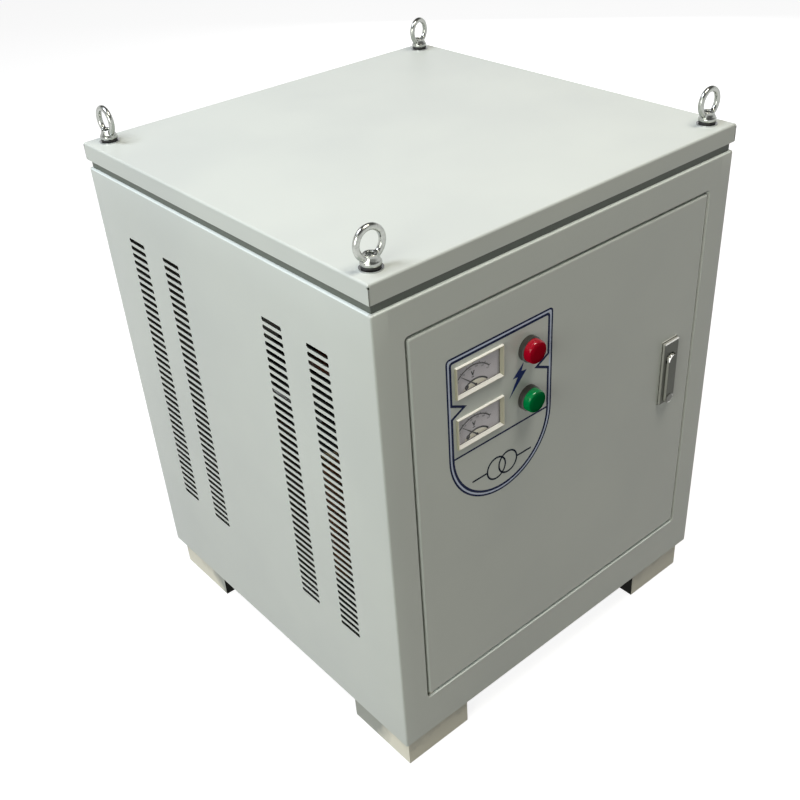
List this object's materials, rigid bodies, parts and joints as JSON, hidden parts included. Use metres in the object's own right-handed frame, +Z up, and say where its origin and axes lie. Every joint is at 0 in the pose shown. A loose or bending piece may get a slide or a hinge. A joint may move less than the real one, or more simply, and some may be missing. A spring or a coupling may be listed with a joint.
{
  "type": "electrical transformer",
  "caption": "Floor-standing dry transformer in a vented sheet-steel cabinet with a hinged instrument door, folding-lever lock, lifting eyes and box feet.",
  "frame": {"origin": "on the floor, in the middle of the cabinet and of the four fixing holes in its feet", "axes": "+Z up, -Y out of the door, +X to the right as seen from in front of the door"},
  "size_m": [0.55, 0.569, 0.726],
  "materials": {
    "cabinet_paint": "smooth light grey powder coat",
    "collar_paint": "satin grey powder coat",
    "foot_paint": "satin cream paint",
    "zinc_fixings": "zinc plated",
    "cast_eyes": "zinc plated casting",
    "black_rubber": "matt",
    "white_nylon": "natural nylon",
    "meter_ivory": "satin moulded plastic",
    "dial_plate": "printed dial",
    "clear_window": "clear",
    "needle_black": "matt black",
    "lamp_bezel": "dark moulded plastic",
    "red_lens": "clear red moulding",
    "green_lens": "clear green moulding",
    "lock_casting": "satin chromed zinc casting",
    "lock_lever": "satin chromed zinc casting",
    "lock_button": "polished",
    "core_steel": "varnished laminations",
    "clamp_paint": "dark grey paint",
    "winding_varnish": "varnished copper wire",
    "barrier_board": "pressboard",
    "block_resin": "glass-filled resin",
    "board_laminate": "phenolic laminate",
    "post_resin": "moulded resin insulator",
    "copper_bar": "bare copper"
  },
  "bodies": {
    "cabinet": {"side_panel_left": "cabinet_paint", "side_panel_right": "cabinet_paint", "rear_panel": "cabinet_paint", "front_frame": "cabinet_paint", "top_cover": "cabinet_paint", "base_tray": "cabinet_paint", "hinge_lugs": "cabinet_paint", "lid_collar": "collar_paint", "foot_front_left": "foot_paint", "foot_front_right": "foot_paint", "foot_rear_left": "foot_paint", "foot_rear_right": "foot_paint", "flat_washers": "zinc_fixings", "lifting_studs": "zinc_fixings", "rear_screws": "zinc_fixings", "hinge_pins": "zinc_fixings", "rail_bolts": "zinc_fixings", "clamp_studs": "zinc_fixings", "terminal_studs": "zinc_fixings", "earth_stud": "zinc_fixings", "core_rails": "zinc_fixings", "eye_nut_front_left": "cast_eyes", "eye_nut_front_right": "cast_eyes", "eye_nut_rear_left": "cast_eyes", "eye_nut_rear_right": "cast_eyes", "rubber_washers": "black_rubber", "cable_grommets": "black_rubber", "hinge_washer": "white_nylon", "laminated_core": "core_steel", "lower_clamp_beams": "clamp_paint", "upper_clamp_beams": "clamp_paint", "inner_windings": "winding_varnish", "outer_winding_a": "winding_varnish", "outer_winding_b": "winding_varnish", "outer_winding_c": "winding_varnish", "winding_barriers": "barrier_board", "winding_blocks": "block_resin", "terminal_board": "board_laminate", "board_posts": "post_resin", "winding_leads": "copper_bar", "star_links": "copper_bar"},
    "door": {"door_panel": "cabinet_paint", "door_hinge_blocks": "cabinet_paint", "meter_case_upper": "meter_ivory", "meter_case_lower": "meter_ivory", "meter_dials": "dial_plate", "meter_windows": "clear_window", "lamp_body_red": "lamp_bezel", "lamp_body_green": "lamp_bezel", "lamp_lens_red": "red_lens", "lamp_lens_green": "green_lens", "lamp_nuts": "zinc_fixings", "lock_plate": "lock_casting"},
    "needle_upper": {"meter_pointer_upper": "needle_black"},
    "needle_lower": {"meter_pointer_lower": "needle_black"},
    "spindle": {"lock_spindle": "zinc_fixings", "lever_pin": "zinc_fixings", "lock_cam": "zinc_fixings"},
    "lever": {"lock_lever": "lock_lever"},
    "button": {"lock_button": "lock_button"}
  },
  "joints": [
    {"name": "door_hinge", "type": "hinge", "parent": "cabinet", "child": "door", "pos_m": [-0.228, -0.269, 0.36], "axis": [0, 0, -1], "range_deg": [0, 105]},
    {"name": "upper_needle", "type": "hinge", "parent": "door", "child": "needle_upper", "pos_m": [-0.1452, -0.275, 0.5182], "axis": [0, 1, 0], "range_deg": [0, 100], "stiffness_Nm_per_rad": 0.0002},
    {"name": "lower_needle", "type": "hinge", "parent": "door", "child": "needle_lower", "pos_m": [-0.1452, -0.275, 0.4552], "axis": [0, 1, 0], "range_deg": [0, 100], "stiffness_Nm_per_rad": 0.0002},
    {"name": "spindle_turn", "type": "hinge", "parent": "door", "child": "spindle", "pos_m": [0.1853, -0.275, 0.406], "axis": [0, 1, 0], "range_deg": [0, 90]},
    {"name": "lever_tilt", "type": "hinge", "parent": "spindle", "child": "lever", "pos_m": [0.1853, -0.2788, 0.4075], "axis": [-1, 0, 0], "range_deg": [0, 35]},
    {"name": "button_press", "type": "slide", "parent": "lever", "child": "button", "axis": [0, 1, 0], "range_m": [0, 0.0015], "stiffness_N_per_m": 400, "springref_m": -0.001}
  ]
}
